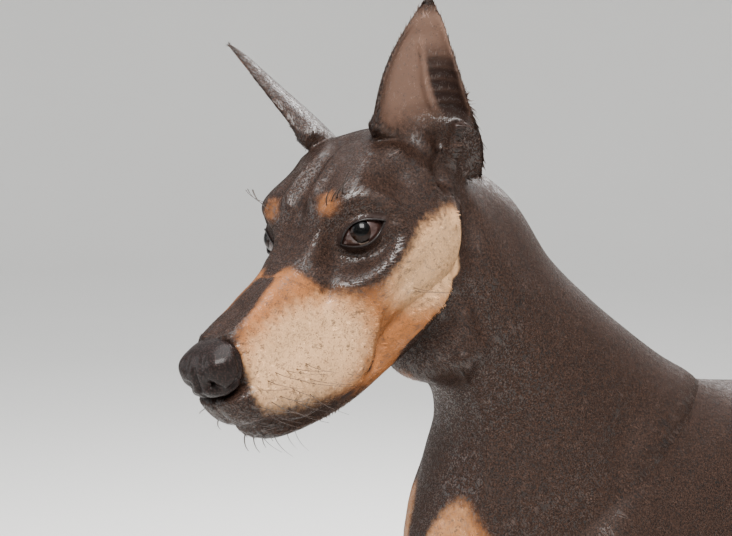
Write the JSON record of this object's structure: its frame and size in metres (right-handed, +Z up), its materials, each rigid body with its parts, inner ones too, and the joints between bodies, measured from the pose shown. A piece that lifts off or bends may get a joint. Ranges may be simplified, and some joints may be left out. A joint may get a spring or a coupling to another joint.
{
  "type": "doberman pinscher",
  "caption": "Standing dog with a lean muscular body, deep chest, long wedge-shaped head turned to one side, upright cropped ears and a docked tail.",
  "frame": {"origin": "on the floor, under the middle of the box around the whole dog", "axes": "+Z up; the trunk faces -Y and the dog's left side is +X; the head is turned about 26 degrees towards +X"},
  "size_m": [0.2368, 0.9522, 0.9616],
  "materials": {
    "dark_coat": "short glossy dark brown fur over flesh",
    "rust_coat": "short satin rust fur over flesh",
    "nose_leather": "moist pebbled dark leather",
    "eye": "wet dark brown eye",
    "claw": "dark horn"
  },
  "bodies": {
    "root": {"head": "dark_coat", "lower_jaw": "rust_coat", "nose": "nose_leather", "eye_left": "eye", "eye_right": "eye", "ear_left": "dark_coat", "ear_right": "dark_coat", "neck": "dark_coat", "chest": "dark_coat", "loin": "dark_coat", "rump": "dark_coat", "tail": "dark_coat", "shoulder_left": "dark_coat", "forearm_left": "rust_coat", "fore_paw_left": "rust_coat", "fore_claw_left_1": "claw", "fore_claw_left_2": "claw", "fore_claw_left_3": "claw", "fore_claw_left_4": "claw", "thigh_left": "dark_coat", "lower_thigh_left": "rust_coat", "hind_paw_left": "rust_coat", "hind_claw_left_1": "claw", "hind_claw_left_2": "claw", "hind_claw_left_3": "claw", "hind_claw_left_4": "claw", "shoulder_right": "dark_coat", "forearm_right": "rust_coat", "fore_paw_right": "rust_coat", "fore_claw_right_1": "claw", "fore_claw_right_2": "claw", "fore_claw_right_3": "claw", "fore_claw_right_4": "claw", "thigh_right": "dark_coat", "lower_thigh_right": "rust_coat", "hind_paw_right": "rust_coat", "hind_claw_right_1": "claw", "hind_claw_right_2": "claw", "hind_claw_right_3": "claw", "hind_claw_right_4": "claw"}
  },
  "joints": []
}
